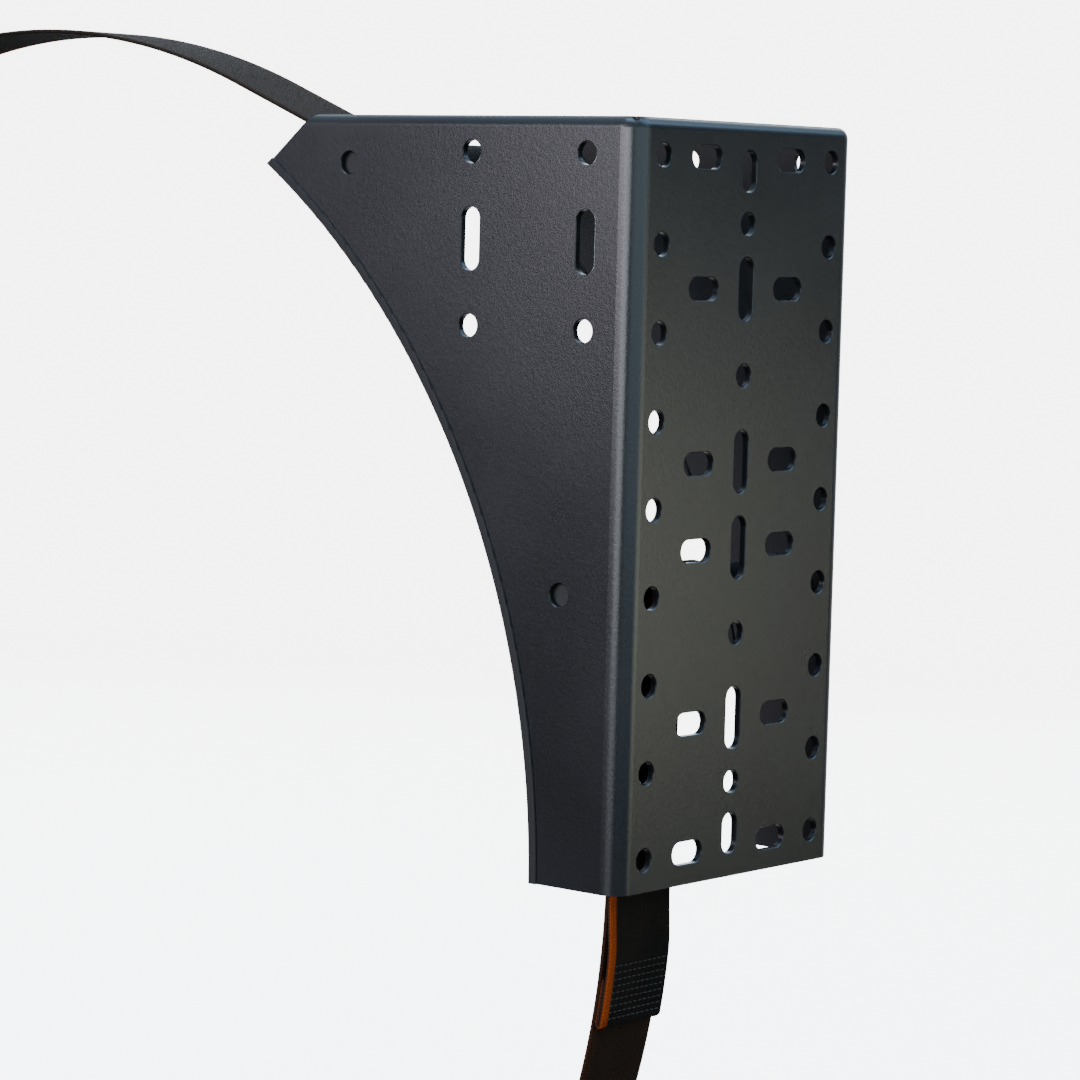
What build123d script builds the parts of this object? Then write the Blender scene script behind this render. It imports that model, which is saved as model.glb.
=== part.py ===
from build123d import *
import os
from math import acos, asin, atan2, cos, degrees, hypot, pi, radians, sin, sqrt

# Spare tyre carrier: a folded steel box bracket that is strapped to the tread of a spare wheel.
# Frame: origin at the wheel's centre, +X outward through the carrier's face, +Y along the
# wheel's axle, +Z up.  All lengths in millimetres.

# ---------------------------------------------------------------- driving dimensions: folded body
tyre_radius = 379.5          # tread radius that the carrier sits on
hole_pitch = 38.1            # 1.5 in hole grid
hole_d = 10.3                # clearance for M10 or 3/8 in bolts
sheet_t = 3.0                # folded sheet thickness

face_x = 428.6               # outer face of the perforated panel
body_width = 160.0           # over the two side plates
bottom_z = 3.0               # cut lower edge of the bracket
top_z = 338.0                # top of the folded flanges
top_row_z = 322.0            # first row of holes
panel_rows = 9               # holes in each edge column of the panel
edge_column_y = 61.35        # edge columns, each side of the centre line
slot_column_y = 30.7         # columns of level slots, each side of the centre line
side_bend_r = 9.5            # outer radius of the two upright bends
top_bend_r = 5.0             # outer radius of the top flange bends
flange_width = 18.0          # top flanges, measured from the outer faces
mitre_gap = 1.0              # slit between two flanges at a corner
notch_d = 3.2                # round notch where the slit meets the upright bend
notch_out = 6.8              # its middle, outward from the upright bend's axis
rim_break = 0.35             # light chamfer on the rims that face outward

tip_low = (212.3, 314.8)     # lower corner of the slanted tip edge (X, Z)
tip_high = (239.5, top_z)    # upper corner of the slanted tip edge (X, Z)
plate_start_x = 180.0        # blank plates start inside the tyre and are cut to the arc

edge_slot_l = 28.0           # long upright slots
level_slot_l = 20.8          # level slots
short_slot_l = 18.4          # short upright slots at the panel's ends
centre_hole_rows = (0.75, 2.5, 5.5, 7.25)        # in hole pitches below the first row
centre_slot_rows = (1.5, 3.5, 4.5, 6.5)
short_slot_rows = (0.145, 7.86)
level_slot_rows = (0, 1.5, 3.5, 4.5, 6.5, 8)
side_columns_x = (336.0, 401.3)

upper_bar_at = (262.9, 316.3)    # cross bar near the tip (X, Z)
lower_bar_at = (392.0, 131.0)    # cross bar near the lower edge (X, Z)
bar_d = 16.0
weld_leg = 2.5

trim_base = 1.4              # rubber under the cut edge
trim_wall = 1.1              # rubber lip beside the sheet
trim_depth = 3.0             # how far the lips reach over the sheet
trim_fit = 0.1               # gap between rubber and sheet
trim_round = 1.0

# ---------------------------------------------------------------- driving dimensions: straps
web_w = 44.0                 # strap webbing width
web_t = 2.2                  # strap webbing thickness
strap_y = -5.0               # the strap runs a little off the wheel's centre line
web_gap = 0.2                # between webbing and what it lies on
layer_gap = 0.1              # between two layers of webbing
hem_angle = -10.3            # where the lower strap's folded end stops, from +X
bar_eye_merge = 46.0         # where the two layers of an eye at a cross bar meet
anchor_eye_merge = 30.0      # the same at the ratchet's anchor
upper_fold = 74.0            # end of the upper strap's folded layer, from the bar
anchor_fold = 70.0           # end of the lower strap's folded layer, from the anchor

# ---------------------------------------------------------------- driving dimensions: ratchet
# u runs up the strap and v away from the tread, both from the spool's height on the tread
spool_v = 22.0
spool_r = 9.0
spool_slit = 2.6
coil_r = 15.5                # outside of the webbing wound on the spool
cheek_in = 23.0              # frame cheeks, inner face from the strap's middle
cheek_t = 3.0
cheek_nose_r = 11.5          # cheek outline round the spool
cheek_tail_r = 9.5           # cheek outline round the anchor bolt
wheel_in = 26.6              # toothed wheels, inner face
wheel_t = 3.8
wheel_tip_r = 19.0
wheel_root_r = 15.2
wheel_teeth = 12
handle_in = 31.0             # handle cheeks, inner face
handle_t = 2.5
pin_r = 1.2                  # retaining pins through the spool's ends
pin_overhang = 2.5           # how far a pin stands out of the spool, each side
pin_w = handle_in + handle_t + 1.8
spool_half_l = pin_w + 3.0

frame_floor = (0.6, 3.1)     # floor plate, lower and upper face (v)
floor_mid_u = -44.0
floor_l = 52.0
foot_l = 62.0                # straight foot of a cheek
foot_h = 14.0
anchor_uv = (-88.0, 12.0)    # anchor bolt
anchor_bolt_r = 4.0
anchor_head_r = 7.2
anchor_head_h = 4.2
anchor_end = 4.6             # bolt end beyond the far cheek
sleeve_r = 6.0
lug_u = -62.0                # lug that the lock pawl's spring bears on
lug_t = 2.5
lug_half_w = 9.0

pawl_t = 3.6
pawl_fit = 0.25              # gap round a pawl in its slots
tip_gap = 0.3                # pawl tip to tooth crest
lock_drop = 5.0              # lock pawl's mid-plane below the spool's axis
pawls_apart = 2              # wheel pitches between the two pawls
wing_l = 13.0                # pawl wings along the strap
rod_r = 2.0                  # spring guide rods
rod_hole_r = 2.3
lock_slot = (-53.5, -14.5)   # slot for the lock pawl in the cheeks (u)
lock_recess = 5.0            # between the lock pawl's two tips
lock_waist = (12.0, 20.0, 26.0)  # half width, and where it starts and ends behind the tips
lock_rod_l = 26.0
drive_waist = (14.0, 12.0, 22.0)     # half width, and where it starts and ends behind the shoulder
drive_ear = (2.0, 7.0)       # pawl ears: beyond the handle cheeks, and along the strap
drive_rod_l = 30.0
drive_spring_l = 16.0
drive_slot_play = 6.0
lip_w = 28.0                 # finger lip at the drive pawl's end
lip_t = 3.0
lip_h = 8.0
spring_r = 3.3               # spring coils, to the middle of the wire
spring_wire = 1.0
spring_turns = 5

elbow_u = -62.0              # where the handle's cheeks bend towards the grip
elbow_rise = 2.0
elbow_r = 10.0
handle_nose_r = 15.0
handle_end_r = 8.0
grip_end_u = -132.0
grip_rise = 3.0              # handle end's middle above the drive pawl
grip_r = 7.4
grip_round = 1.5
grip_pin_r = 3.0
grip_pin_head_r = 5.0
grip_pin_head_h = 1.5
seat_t = 2.5                 # spring seat across the handle
seat_h = 14.0
seat_rise = 2.0              # seat's middle above the drive pawl
cover_t = 2.4                # cover plate between the seat and the grip
joint_fit = 0.02             # a turning or fixed pin in its hole
bore_fit = 0.1               # spool in its bearings

# ---------------------------------------------------------------- derived dimensions
edge_r = tyre_radius + trim_base + web_gap
half_w = body_width / 2
corner_x = face_x - side_bend_r
corner_y = half_w - side_bend_r
flange_z = top_z - top_bend_r
strap_r = tyre_radius + web_gap + web_t / 2
top_row = [top_row_z - hole_pitch * k for k in range(panel_rows)]
tooth_pitch = 360 / wheel_teeth
mid_tooth_r = (wheel_tip_r + wheel_root_r) / 2
gap_phase = 180 + degrees(asin(lock_drop / mid_tooth_r))
drive_rise = mid_tooth_r * sin(radians(gap_phase - pawls_apart * tooth_pitch))
lock_v = spool_v - lock_drop
drive_v = spool_v + drive_rise
lug_top = lock_v + 8.0
grip_v = drive_v + grip_rise
pieces = []


def keep(shape, name):
    """Label a finished piece and put it on the list of files to write."""
    shape.label = name
    pieces.append(shape)


def side_plane(y):
    """Plane across the ratchet at height y: x is up the strap, y is away from the tread."""
    return Plane(origin=(-tyre_radius, y, 0), x_dir=(0, 0, 1), z_dir=(0, -1, 0))


def pawl_plane(v):
    """Plane of a pawl at one height above the tread: x is across the strap, y is up the strap."""
    return Plane(origin=(-tyre_radius - v, strap_y, 0), x_dir=(0, 1, 0), z_dir=(1, 0, 0))


def along_plane(v, u):
    """Plane square to the strap's run, at one height above the tread, looking down the run."""
    return Plane(origin=(-tyre_radius - v, strap_y, u), z_dir=(0, 0, -1))


def xz_plane(y):
    """World X-Z plane at height y, looking along +Y."""
    return Plane(origin=(0, y, 0), x_dir=(1, 0, 0), z_dir=(0, -1, 0))


# ---------------------------------------------------------------- folded body
def panel_openings():
    """Holes and slots of the outer panel, in its own sketch plane (Y across, Z up)."""
    rows_all = [(y, z) for z in top_row for y in (-edge_column_y, edge_column_y)]
    rows_mid = [(0, top_row_z - hole_pitch * row) for row in centre_hole_rows]
    with Locations(*rows_all, *rows_mid):
        Circle(hole_d / 2)
    with Locations(*[(0, top_row_z - hole_pitch * row) for row in centre_slot_rows]):
        SlotOverall(edge_slot_l, hole_d, rotation=90)
    with Locations(*[(0, top_row_z - hole_pitch * row) for row in short_slot_rows]):
        SlotOverall(short_slot_l, hole_d, rotation=90)
    rows_level = [(y, top_row_z - hole_pitch * row)
                  for row in level_slot_rows for y in (-slot_column_y, slot_column_y)]
    with Locations(*rows_level):
        SlotOverall(level_slot_l, hole_d)


def side_openings():
    """Holes and slots of a side plate, in the X-Z plane."""
    with Locations(*[(x, top_row[k]) for x in side_columns_x for k in (0, 2)]):
        Circle(hole_d / 2)
    with Locations(*[(x, top_row[1]) for x in side_columns_x]):
        SlotOverall(edge_slot_l, hole_d, rotation=90)
    with Locations(upper_bar_at, lower_bar_at):
        Circle(hole_d / 2)


def flange_outline(outer, inward, width):
    """Section of a bent top flange: outer is its outer face, inward the way it folds."""
    centre_x = outer + inward * top_bend_r
    start = (outer, flange_z)
    bend_end = (centre_x, top_z)
    inner_start = (centre_x, top_z - sheet_t)
    inner_end = (outer + inward * sheet_t, flange_z)
    tip_x = outer + inward * width

    def on_bend(radius):
        return (centre_x - inward * radius * cos(pi / 4), flange_z + radius * sin(pi / 4))

    ThreePointArc(start, on_bend(top_bend_r), bend_end)
    Polyline(bend_end, (tip_x, top_z), (tip_x, top_z - sheet_t), inner_start)
    ThreePointArc(inner_start, on_bend(top_bend_r - sheet_t), inner_end)
    Line(inner_end, start)


margin = 5.0                 # how far cutting shapes reach past what they cut
arc_low = (edge_r * cos(asin(bottom_z / edge_r)), bottom_z)
trim_start = degrees(asin(bottom_z / edge_r))
tip_angle = degrees(atan2(tip_low[1], tip_low[0]))
tip_on_arc = (edge_r * cos(radians(tip_angle)), edge_r * sin(radians(tip_angle)))
mid_angle = radians((tip_angle + trim_start) / 2)

with BuildPart() as carrier_body:
    # U-shaped wrapper: panel, two upright bends and two side plates
    with BuildSketch(Plane.XY.offset(bottom_z)) as wrap:
        with BuildLine():
            Polyline((plate_start_x, -half_w), (face_x, -half_w), (face_x, half_w),
                     (plate_start_x, half_w), close=True)
        make_face()
        fillet(wrap.vertices().group_by(Axis.X)[-1], side_bend_r)
        with BuildSketch(mode=Mode.PRIVATE) as hollow:
            with BuildLine():
                inner_x = face_x - sheet_t
                inner_y = half_w - sheet_t
                Polyline((plate_start_x - margin, -inner_y), (inner_x, -inner_y), (inner_x, inner_y),
                         (plate_start_x - margin, inner_y), close=True)
            make_face()
            fillet(hollow.vertices().group_by(Axis.X)[-1], side_bend_r - sheet_t)
        add(hollow.sketch, mode=Mode.SUBTRACT)
    extrude(amount=flange_z - bottom_z)
    # top flanges: a small bend and a narrow inward flat on each of the three sides
    with BuildSketch(Plane.YZ.offset(plate_start_x)):
        for side in (-1, 1):
            with BuildLine():
                flange_outline(side * half_w, -side, flange_width)
            make_face()
    extrude(amount=corner_x - plate_start_x)
    with BuildSketch(xz_plane(0)):
        with BuildLine():
            flange_outline(face_x, -1, flange_width)
        make_face()
    extrude(amount=corner_y, both=True)
    # the flanges run round the upright bends and are slit from a small notch inward
    for side in (-1, 1):
        with BuildSketch(Plane.YZ.offset(corner_x)):
            with BuildLine():
                flange_outline(side * half_w, -side, side_bend_r)
            make_face()
        revolve(axis=Axis((corner_x, side * corner_y, 0), (0, 0, -side)), revolution_arc=90)
    for side in (-1, 1):
        with BuildSketch(Plane(origin=(corner_x, side * corner_y, flange_z - 1), x_dir=(-1, -side, 0),
                               z_dir=(0, 0, 1))):
            with Locations((-notch_out, 0)):
                Circle(notch_d / 2)
                Rectangle(2 * flange_width, mitre_gap, align=(Align.MIN, Align.CENTER))
        extrude(amount=top_bend_r + 2, mode=Mode.SUBTRACT)
    # side outline: tyre arc and slanted tip
    with BuildSketch(xz_plane(0)):
        with BuildLine():
            ThreePointArc(arc_low, (edge_r * cos(mid_angle), edge_r * sin(mid_angle)), tip_on_arc)
            Polyline(tip_on_arc, tip_high, (face_x + margin, top_z), (face_x + margin, bottom_z), arc_low)
        make_face()
    extrude(amount=half_w + margin, both=True, mode=Mode.INTERSECT)
    # holes and slots, then a light break on the rims that face outward
    with BuildSketch(Plane.YZ.offset(face_x - 2 * sheet_t)):
        panel_openings()
    extrude(amount=4 * sheet_t, mode=Mode.SUBTRACT)
    with BuildSketch(xz_plane(0)):
        side_openings()
    extrude(amount=half_w + margin, both=True, mode=Mode.SUBTRACT)
    panel_face = carrier_body.faces().filter_by(Axis.X).sort_by(Axis.X)[-1]
    plate_faces = carrier_body.faces().filter_by(Axis.Y).sort_by(Axis.Y)
    rims = [edge for face in (panel_face, plate_faces[0], plate_faces[-1])
            for wire in face.inner_wires() for edge in wire.edges()]
    chamfer(rims, rim_break)
keep(carrier_body.part, "carrier_body")

# ---------------------------------------------------------------- cross bars and their welds
bar_half = half_w - sheet_t
for name, spot in (("upper_cross_bar", upper_bar_at), ("lower_cross_bar", lower_bar_at)):
    with BuildPart() as cross_bar:
        with BuildSketch(xz_plane(0)):
            with Locations(spot):
                Circle(bar_d / 2)
        extrude(amount=bar_half, both=True)
    keep(cross_bar.part, name)

with BuildPart() as cross_bar_welds:
    for spot in (upper_bar_at, lower_bar_at):
        for side in (-1, 1):
            weld_y = side * bar_half
            with BuildSketch(Plane(origin=(spot[0], 0, spot[1]), x_dir=(1, 0, 0), z_dir=(0, 0, 1))):
                with BuildLine():
                    Polyline((bar_d / 2, weld_y), (bar_d / 2 + weld_leg, weld_y),
                             (bar_d / 2, weld_y - side * weld_leg), close=True)
                make_face()
            revolve(axis=Axis((spot[0], 0, spot[1]), (0, 1, 0)))
keep(cross_bar_welds.part, "cross_bar_welds")

# ---------------------------------------------------------------- rubber edge trims
trim_half = sheet_t / 2 + trim_wall + trim_fit
trim_overrun = 2.0           # degrees past the tip, cut off along the slanted edge
tip_slope = atan2(tip_high[1] - tip_on_arc[1], tip_high[0] - tip_on_arc[0])
for name, side in (("near_edge_trim", -1), ("far_edge_trim", 1)):
    mid_y = side * (half_w - sheet_t / 2)
    with BuildPart() as trim_ring:
        with BuildSketch(Plane.XY) as trim_profile:
            with Locations((edge_r - trim_base - trim_fit, mid_y)):
                Rectangle(trim_base + trim_fit + trim_depth, 2 * trim_half,
                          align=(Align.MIN, Align.CENTER))
            fillet(trim_profile.vertices(), trim_round)
            with Locations((edge_r - trim_fit, mid_y)):
                Rectangle(2 * trim_depth, sheet_t + 2 * trim_fit, align=(Align.MIN, Align.CENTER),
                          mode=Mode.SUBTRACT)
        revolve(axis=Axis.Y, revolution_arc=-(tip_angle + trim_overrun - trim_start))
    with BuildPart() as edge_trim:
        add(trim_ring.part.rotate(Axis.Y, -trim_start))
        with BuildSketch(Plane(origin=(tip_on_arc[0], mid_y, tip_on_arc[1]),
                               x_dir=(cos(tip_slope), 0, sin(tip_slope)), z_dir=(0, -1, 0))):
            Rectangle(60, 30, align=(Align.CENTER, Align.MIN))
        extrude(amount=2 * trim_half, both=True, mode=Mode.SUBTRACT)
    keep(edge_trim.part, name)


# ---------------------------------------------------------------- strap webbing
def polar(radius, angle):
    """Point of the X-Z plane at an angle from +X towards +Z."""
    return (radius * cos(radians(angle)), radius * sin(radians(angle)))


def bearing(point):
    """Angle of a point from +X towards +Z, 0 to 360 degrees."""
    return degrees(atan2(point[1], point[0])) % 360


def inner_tangent(centre, radius, side):
    """Straight run that leaves the tyre and passes a round bar on its tyre side.

    side is +1 where the tyre contact lies at a larger angle than the bar.
    Returns the angle of the run's normal, its point on the tyre and its point on the bar.
    """
    normal = bearing(centre) + side * degrees(acos((strap_r + radius) / hypot(*centre)))
    on_bar = (centre[0] - polar(radius, normal)[0], centre[1] - polar(radius, normal)[1])
    return normal, polar(strap_r, normal), on_bar


class Eye:
    """A sewn eye of webbing round a bar, on the run that goes to the tyre at one side of it."""

    def __init__(self, centre, bar_radius, side, merge):
        self.centre = centre
        self.radius = bar_radius + web_gap + web_t / 2
        self.normal, self.on_tyre, self.on_bar = inner_tangent(centre, self.radius, side)
        self.run = hypot(self.on_tyre[0] - self.on_bar[0], self.on_tyre[1] - self.on_bar[1])
        self.step = web_t + layer_gap
        self.merge_point = (merge, self.step - self.radius)
        lean = degrees(atan2(self.merge_point[1], self.merge_point[0]))
        self.leave = lean + degrees(acos(self.radius / hypot(*self.merge_point)))

    def place(self, along, out):
        """World point: along the run from the bar's centre, and out from the tyre."""
        ux = (self.on_tyre[0] - self.on_bar[0]) / self.run
        uz = (self.on_tyre[1] - self.on_bar[1]) / self.run
        nx, nz = polar(1, self.normal)
        return (self.centre[0] + along * ux + out * nx, self.centre[1] + along * uz + out * nz)

    def on_ring(self, angle):
        """World point on the middle of the webbing that wraps the bar."""
        return self.place(*polar(self.radius, angle))

    def draw(self, fold_end):
        """Draw from the folded layer's end, round the bar, to the start of the main layer."""
        Line(self.place(fold_end, self.merge_point[1]), self.place(*self.merge_point))
        Line(self.place(*self.merge_point), self.on_ring(self.leave))
        ThreePointArc(self.on_ring(self.leave), self.on_ring((self.leave - 450) / 2), self.on_ring(-90))


def tyre_arc(radius, start, end):
    """Arc about the wheel's axle from one angle to another, through the angles between."""
    ThreePointArc(polar(radius, start), polar(radius, (start + end) / 2), polar(radius, end))


anchor_at = (-tyre_radius - anchor_uv[1], anchor_uv[0])
spool_at = (-tyre_radius - spool_v, 0.0)
upper_eye = Eye(upper_bar_at, bar_d / 2, 1, bar_eye_merge)
lower_eye = Eye(lower_bar_at, bar_d / 2, -1, bar_eye_merge)
anchor_eye = Eye(anchor_at, sleeve_r, 1, anchor_eye_merge)
coil_normal, coil_tyre_point, coil_point = inner_tangent(spool_at, coil_r + tip_gap + web_t / 2, -1)

with BuildPart() as upper_strap:
    with BuildSketch(xz_plane(strap_y)):
        with BuildLine():
            upper_eye.draw(upper_fold)
            Line(upper_eye.on_bar, upper_eye.on_tyre)
            tyre_arc(strap_r, upper_eye.normal, coil_normal)
            Line(coil_tyre_point, coil_point)
        trace(line_width=web_t)
    extrude(amount=web_w / 2, both=True)
keep(upper_strap.part, "upper_strap")

with BuildPart() as lower_strap:
    with BuildSketch(xz_plane(strap_y)):
        with BuildLine():
            tyre_arc(strap_r + lower_eye.step, hem_angle, lower_eye.normal)
            lower_eye.draw(lower_eye.run)
            Line(lower_eye.on_bar, lower_eye.on_tyre)
            tyre_arc(strap_r, lower_eye.normal, anchor_eye.normal - 360)
            Line(anchor_eye.on_tyre, anchor_eye.on_bar)
            anchor_eye.draw(anchor_fold)
        trace(line_width=web_t)
    extrude(amount=web_w / 2, both=True)
keep(lower_strap.part, "lower_strap")
print("upper strap, bar to spool: %.0f mm" % (
    upper_eye.run + radians(coil_normal - upper_eye.normal) * strap_r))
print("lower strap, bar to anchor: %.0f mm" % (
    lower_eye.run + anchor_eye.run + radians(lower_eye.normal + 360 - anchor_eye.normal) * strap_r))

# ---------------------------------------------------------------- ratchet: spool, wheels, wound webbing
pin_places = [(-tyre_radius - spool_v, strap_y + end * pin_w, 0) for end in (-1, 1)]
for name, side in (("spool_half_inner", -1), ("spool_half_outer", 1)):
    with BuildPart() as spool_half:
        with BuildSketch(side_plane(strap_y)):
            with Locations((0, spool_v)):
                Circle(spool_r)
                with Locations((0, side * (spool_slit / 2 + spool_r))):
                    Rectangle(4 * spool_r, 2 * spool_r, mode=Mode.INTERSECT)
        extrude(amount=spool_half_l, both=True)
        with Locations(*pin_places):
            Cylinder(pin_r, 4 * spool_r, rotation=(0, 90, 0), mode=Mode.SUBTRACT)
    keep(spool_half.part, name)

with BuildPart() as wound_webbing:
    with BuildSketch(side_plane(strap_y)):
        with Locations((0, spool_v)):
            Circle(coil_r)
            Circle(spool_r + bore_fit, mode=Mode.SUBTRACT)
            Rectangle(2 * spool_r + 2, web_t)
    extrude(amount=web_w / 2, both=True)
keep(wound_webbing.part, "wound_webbing")

# corners of one gap and the tooth after it: share of a pitch from the gap's middle, and radius;
# the steep flank is the one that the strap's pull presses on a pawl
tooth_corners = ((-0.2, wheel_root_r), (0.2, wheel_root_r), (0.4, wheel_tip_r), (0.7, wheel_tip_r))


def tooth_point(tooth, share, radius):
    """Corner of a wheel tooth in the ratchet's side plane."""
    angle = radians(gap_phase + (tooth + share) * tooth_pitch)
    return (radius * cos(angle), spool_v + radius * sin(angle))


wheel_outline = [tooth_point(k, *corner) for k in range(wheel_teeth) for corner in tooth_corners]
for name, side in (("near_ratchet_wheel", 1), ("far_ratchet_wheel", -1)):
    with BuildPart() as ratchet_wheel:
        with BuildSketch(side_plane(strap_y - side * (wheel_in + wheel_t / 2))):
            with BuildLine():
                Polyline(*wheel_outline, close=True)
            make_face()
            with Locations((0, spool_v)):
                Circle(spool_r + bore_fit / 2, mode=Mode.SUBTRACT)
        extrude(amount=wheel_t / 2, both=True)
    keep(ratchet_wheel.part, name)

with BuildPart() as spool_pins:
    with Locations(*pin_places):
        Cylinder(pin_r, 2 * (spool_r + pin_overhang), rotation=(0, 90, 0))
keep(spool_pins.part, "spool_pins")

# ---------------------------------------------------------------- ratchet: frame
with BuildPart() as ratchet_frame:
    for side in (-1, 1):
        with BuildSketch(side_plane(strap_y + side * (cheek_in + cheek_t / 2))):
            with BuildSketch(mode=Mode.PRIVATE) as ends:
                with Locations((0, spool_v)):
                    Circle(cheek_nose_r)
                with Locations(anchor_uv):
                    Circle(cheek_tail_r)
            add(make_hull(ends.sketch.edges(), mode=Mode.PRIVATE))
            with Locations((floor_mid_u, frame_floor[0])):
                Rectangle(foot_l, foot_h, align=(Align.CENTER, Align.MIN))
            with Locations((0, spool_v)):
                Circle(spool_r + bore_fit, mode=Mode.SUBTRACT)
            with Locations(anchor_uv):
                Circle(anchor_bolt_r + bore_fit / 2, mode=Mode.SUBTRACT)
            with Locations(((lock_slot[0] + lock_slot[1]) / 2, lock_v)):
                Rectangle(lock_slot[1] - lock_slot[0], pawl_t + 2 * pawl_fit, mode=Mode.SUBTRACT)
        extrude(amount=cheek_t / 2, both=True)
    with BuildSketch(side_plane(strap_y)):
        with Locations((floor_mid_u, frame_floor[0])):
            Rectangle(floor_l, frame_floor[1] - frame_floor[0], align=(Align.CENTER, Align.MIN))
    extrude(amount=cheek_in + cheek_t / 2, both=True)
    with BuildSketch(side_plane(strap_y)):
        with Locations((lug_u, frame_floor[0])):
            Rectangle(lug_t, lug_top - frame_floor[0], align=(Align.CENTER, Align.MIN))
    extrude(amount=lug_half_w, both=True)
    with BuildSketch(along_plane(lock_v, lug_u)):
        Circle(rod_hole_r)
    extrude(amount=lug_t, both=True, mode=Mode.SUBTRACT)
keep(ratchet_frame.part, "ratchet_frame")

# ---------------------------------------------------------------- ratchet: anchor bolt, sleeve and nut
cheek_out = cheek_in + cheek_t
with BuildPart() as anchor_bolt:
    with BuildSketch(side_plane(strap_y + cheek_out)):
        with Locations(anchor_uv):
            RegularPolygon(anchor_head_r, 6)
    extrude(amount=-anchor_head_h)
    with BuildSketch(side_plane(strap_y + cheek_out)):
        with Locations(anchor_uv):
            Circle(anchor_bolt_r)
    extrude(amount=2 * cheek_out + anchor_end)
    chamfer(anchor_bolt.faces().sort_by(Axis.Y)[-1].edges(), 0.6)
keep(anchor_bolt.part, "anchor_bolt")

with BuildPart() as anchor_nut:
    with BuildSketch(side_plane(strap_y - cheek_out)):
        with Locations(anchor_uv):
            RegularPolygon(anchor_head_r, 6)
            Circle(anchor_bolt_r + joint_fit, mode=Mode.SUBTRACT)
    extrude(amount=anchor_head_h)
keep(anchor_nut.part, "anchor_nut")

with BuildPart() as anchor_sleeve:
    with BuildSketch(side_plane(strap_y)):
        with Locations(anchor_uv):
            Circle(sleeve_r)
            Circle(anchor_bolt_r + 2 * bore_fit, mode=Mode.SUBTRACT)
    extrude(amount=cheek_in, both=True)
keep(anchor_sleeve.part, "anchor_sleeve")


# ---------------------------------------------------------------- ratchet: pawls and springs
def tip_u(offset):
    """Where a pawl tip's corner, at an offset from the spool's axis, clears the tooth crests."""
    return -sqrt((wheel_tip_r + tip_gap) ** 2 - offset ** 2)


def coil_spring(top_u, bottom_u, v_mid, name):
    """Closed helix of round wire along the strap's direction, between two seats."""
    start_u = bottom_u + spring_wire / 2 + bore_fit
    rise = top_u - bottom_u - spring_wire - 2 * bore_fit
    with BuildPart() as spring:
        with BuildLine(Plane(origin=(-tyre_radius - v_mid, strap_y, start_u))):
            Helix(pitch=rise / spring_turns, height=rise, radius=spring_r)
        with BuildSketch(Plane(origin=(-tyre_radius - v_mid + spring_r, strap_y, start_u),
                               x_dir=(1, 0, 0), z_dir=(0, 1, 0))):
            Circle(spring_wire / 2)
        sweep()
    keep(spring.part, name)


wing_out = wheel_in + wheel_t - 0.2
tip_in = cheek_in + 0.5
lock_tip = tip_u(lock_drop - pawl_t / 2)
lock_back = lock_tip - lock_waist[2]
with BuildPart() as lock_pawl:
    with BuildSketch(pawl_plane(lock_v)):
        with BuildLine():
            half_outline = [(0, lock_tip - lock_recess), (tip_in, lock_tip - lock_recess), (tip_in, lock_tip),
                            (wing_out, lock_tip), (wing_out, lock_tip - wing_l),
                            (lock_waist[0], lock_tip - lock_waist[1]), (lock_waist[0], lock_back)]
            Polyline(*half_outline, *[(-w, u) for w, u in half_outline[:0:-1]], close=True)
        make_face()
    extrude(amount=pawl_t / 2, both=True)
    with BuildSketch(along_plane(lock_v, lock_back)):
        Circle(rod_r)
    extrude(amount=lock_rod_l)
keep(lock_pawl.part, "lock_pawl")
coil_spring(lock_back, lug_u + lug_t / 2, lock_v, "lock_pawl_spring")

drive_tip = tip_u(drive_rise - pawl_t / 2)
shoulder = drive_tip - wing_l
ear_out = handle_in + handle_t + drive_ear[0]
pull_end = shoulder - drive_waist[2]
seat_u = pull_end - drive_spring_l
with BuildPart() as drive_pawl:
    with BuildSketch(pawl_plane(drive_v)):
        with BuildLine():
            half_outline = [(0, shoulder), (wheel_in, shoulder), (wheel_in, drive_tip), (wing_out, drive_tip),
                            (wing_out, shoulder), (ear_out, shoulder), (ear_out, shoulder - drive_ear[1]),
                            (wing_out, shoulder - drive_ear[1]), (drive_waist[0], shoulder - drive_waist[1]),
                            (drive_waist[0], pull_end)]
            Polyline(*half_outline, *[(-w, u) for w, u in half_outline[:0:-1]], close=True)
        make_face()
    extrude(amount=pawl_t / 2, both=True)
    # spring guide rod and finger lip at the pull end
    with BuildSketch(along_plane(drive_v, pull_end)):
        Circle(rod_r)
    extrude(amount=drive_rod_l)
    with BuildSketch(pawl_plane(drive_v + pawl_t / 2)):
        with Locations((0, pull_end)):
            Rectangle(lip_w, lip_t, align=(Align.CENTER, Align.MIN))
    extrude(amount=-lip_h)
keep(drive_pawl.part, "drive_pawl")
coil_spring(pull_end, seat_u, drive_v, "drive_pawl_spring")

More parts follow.
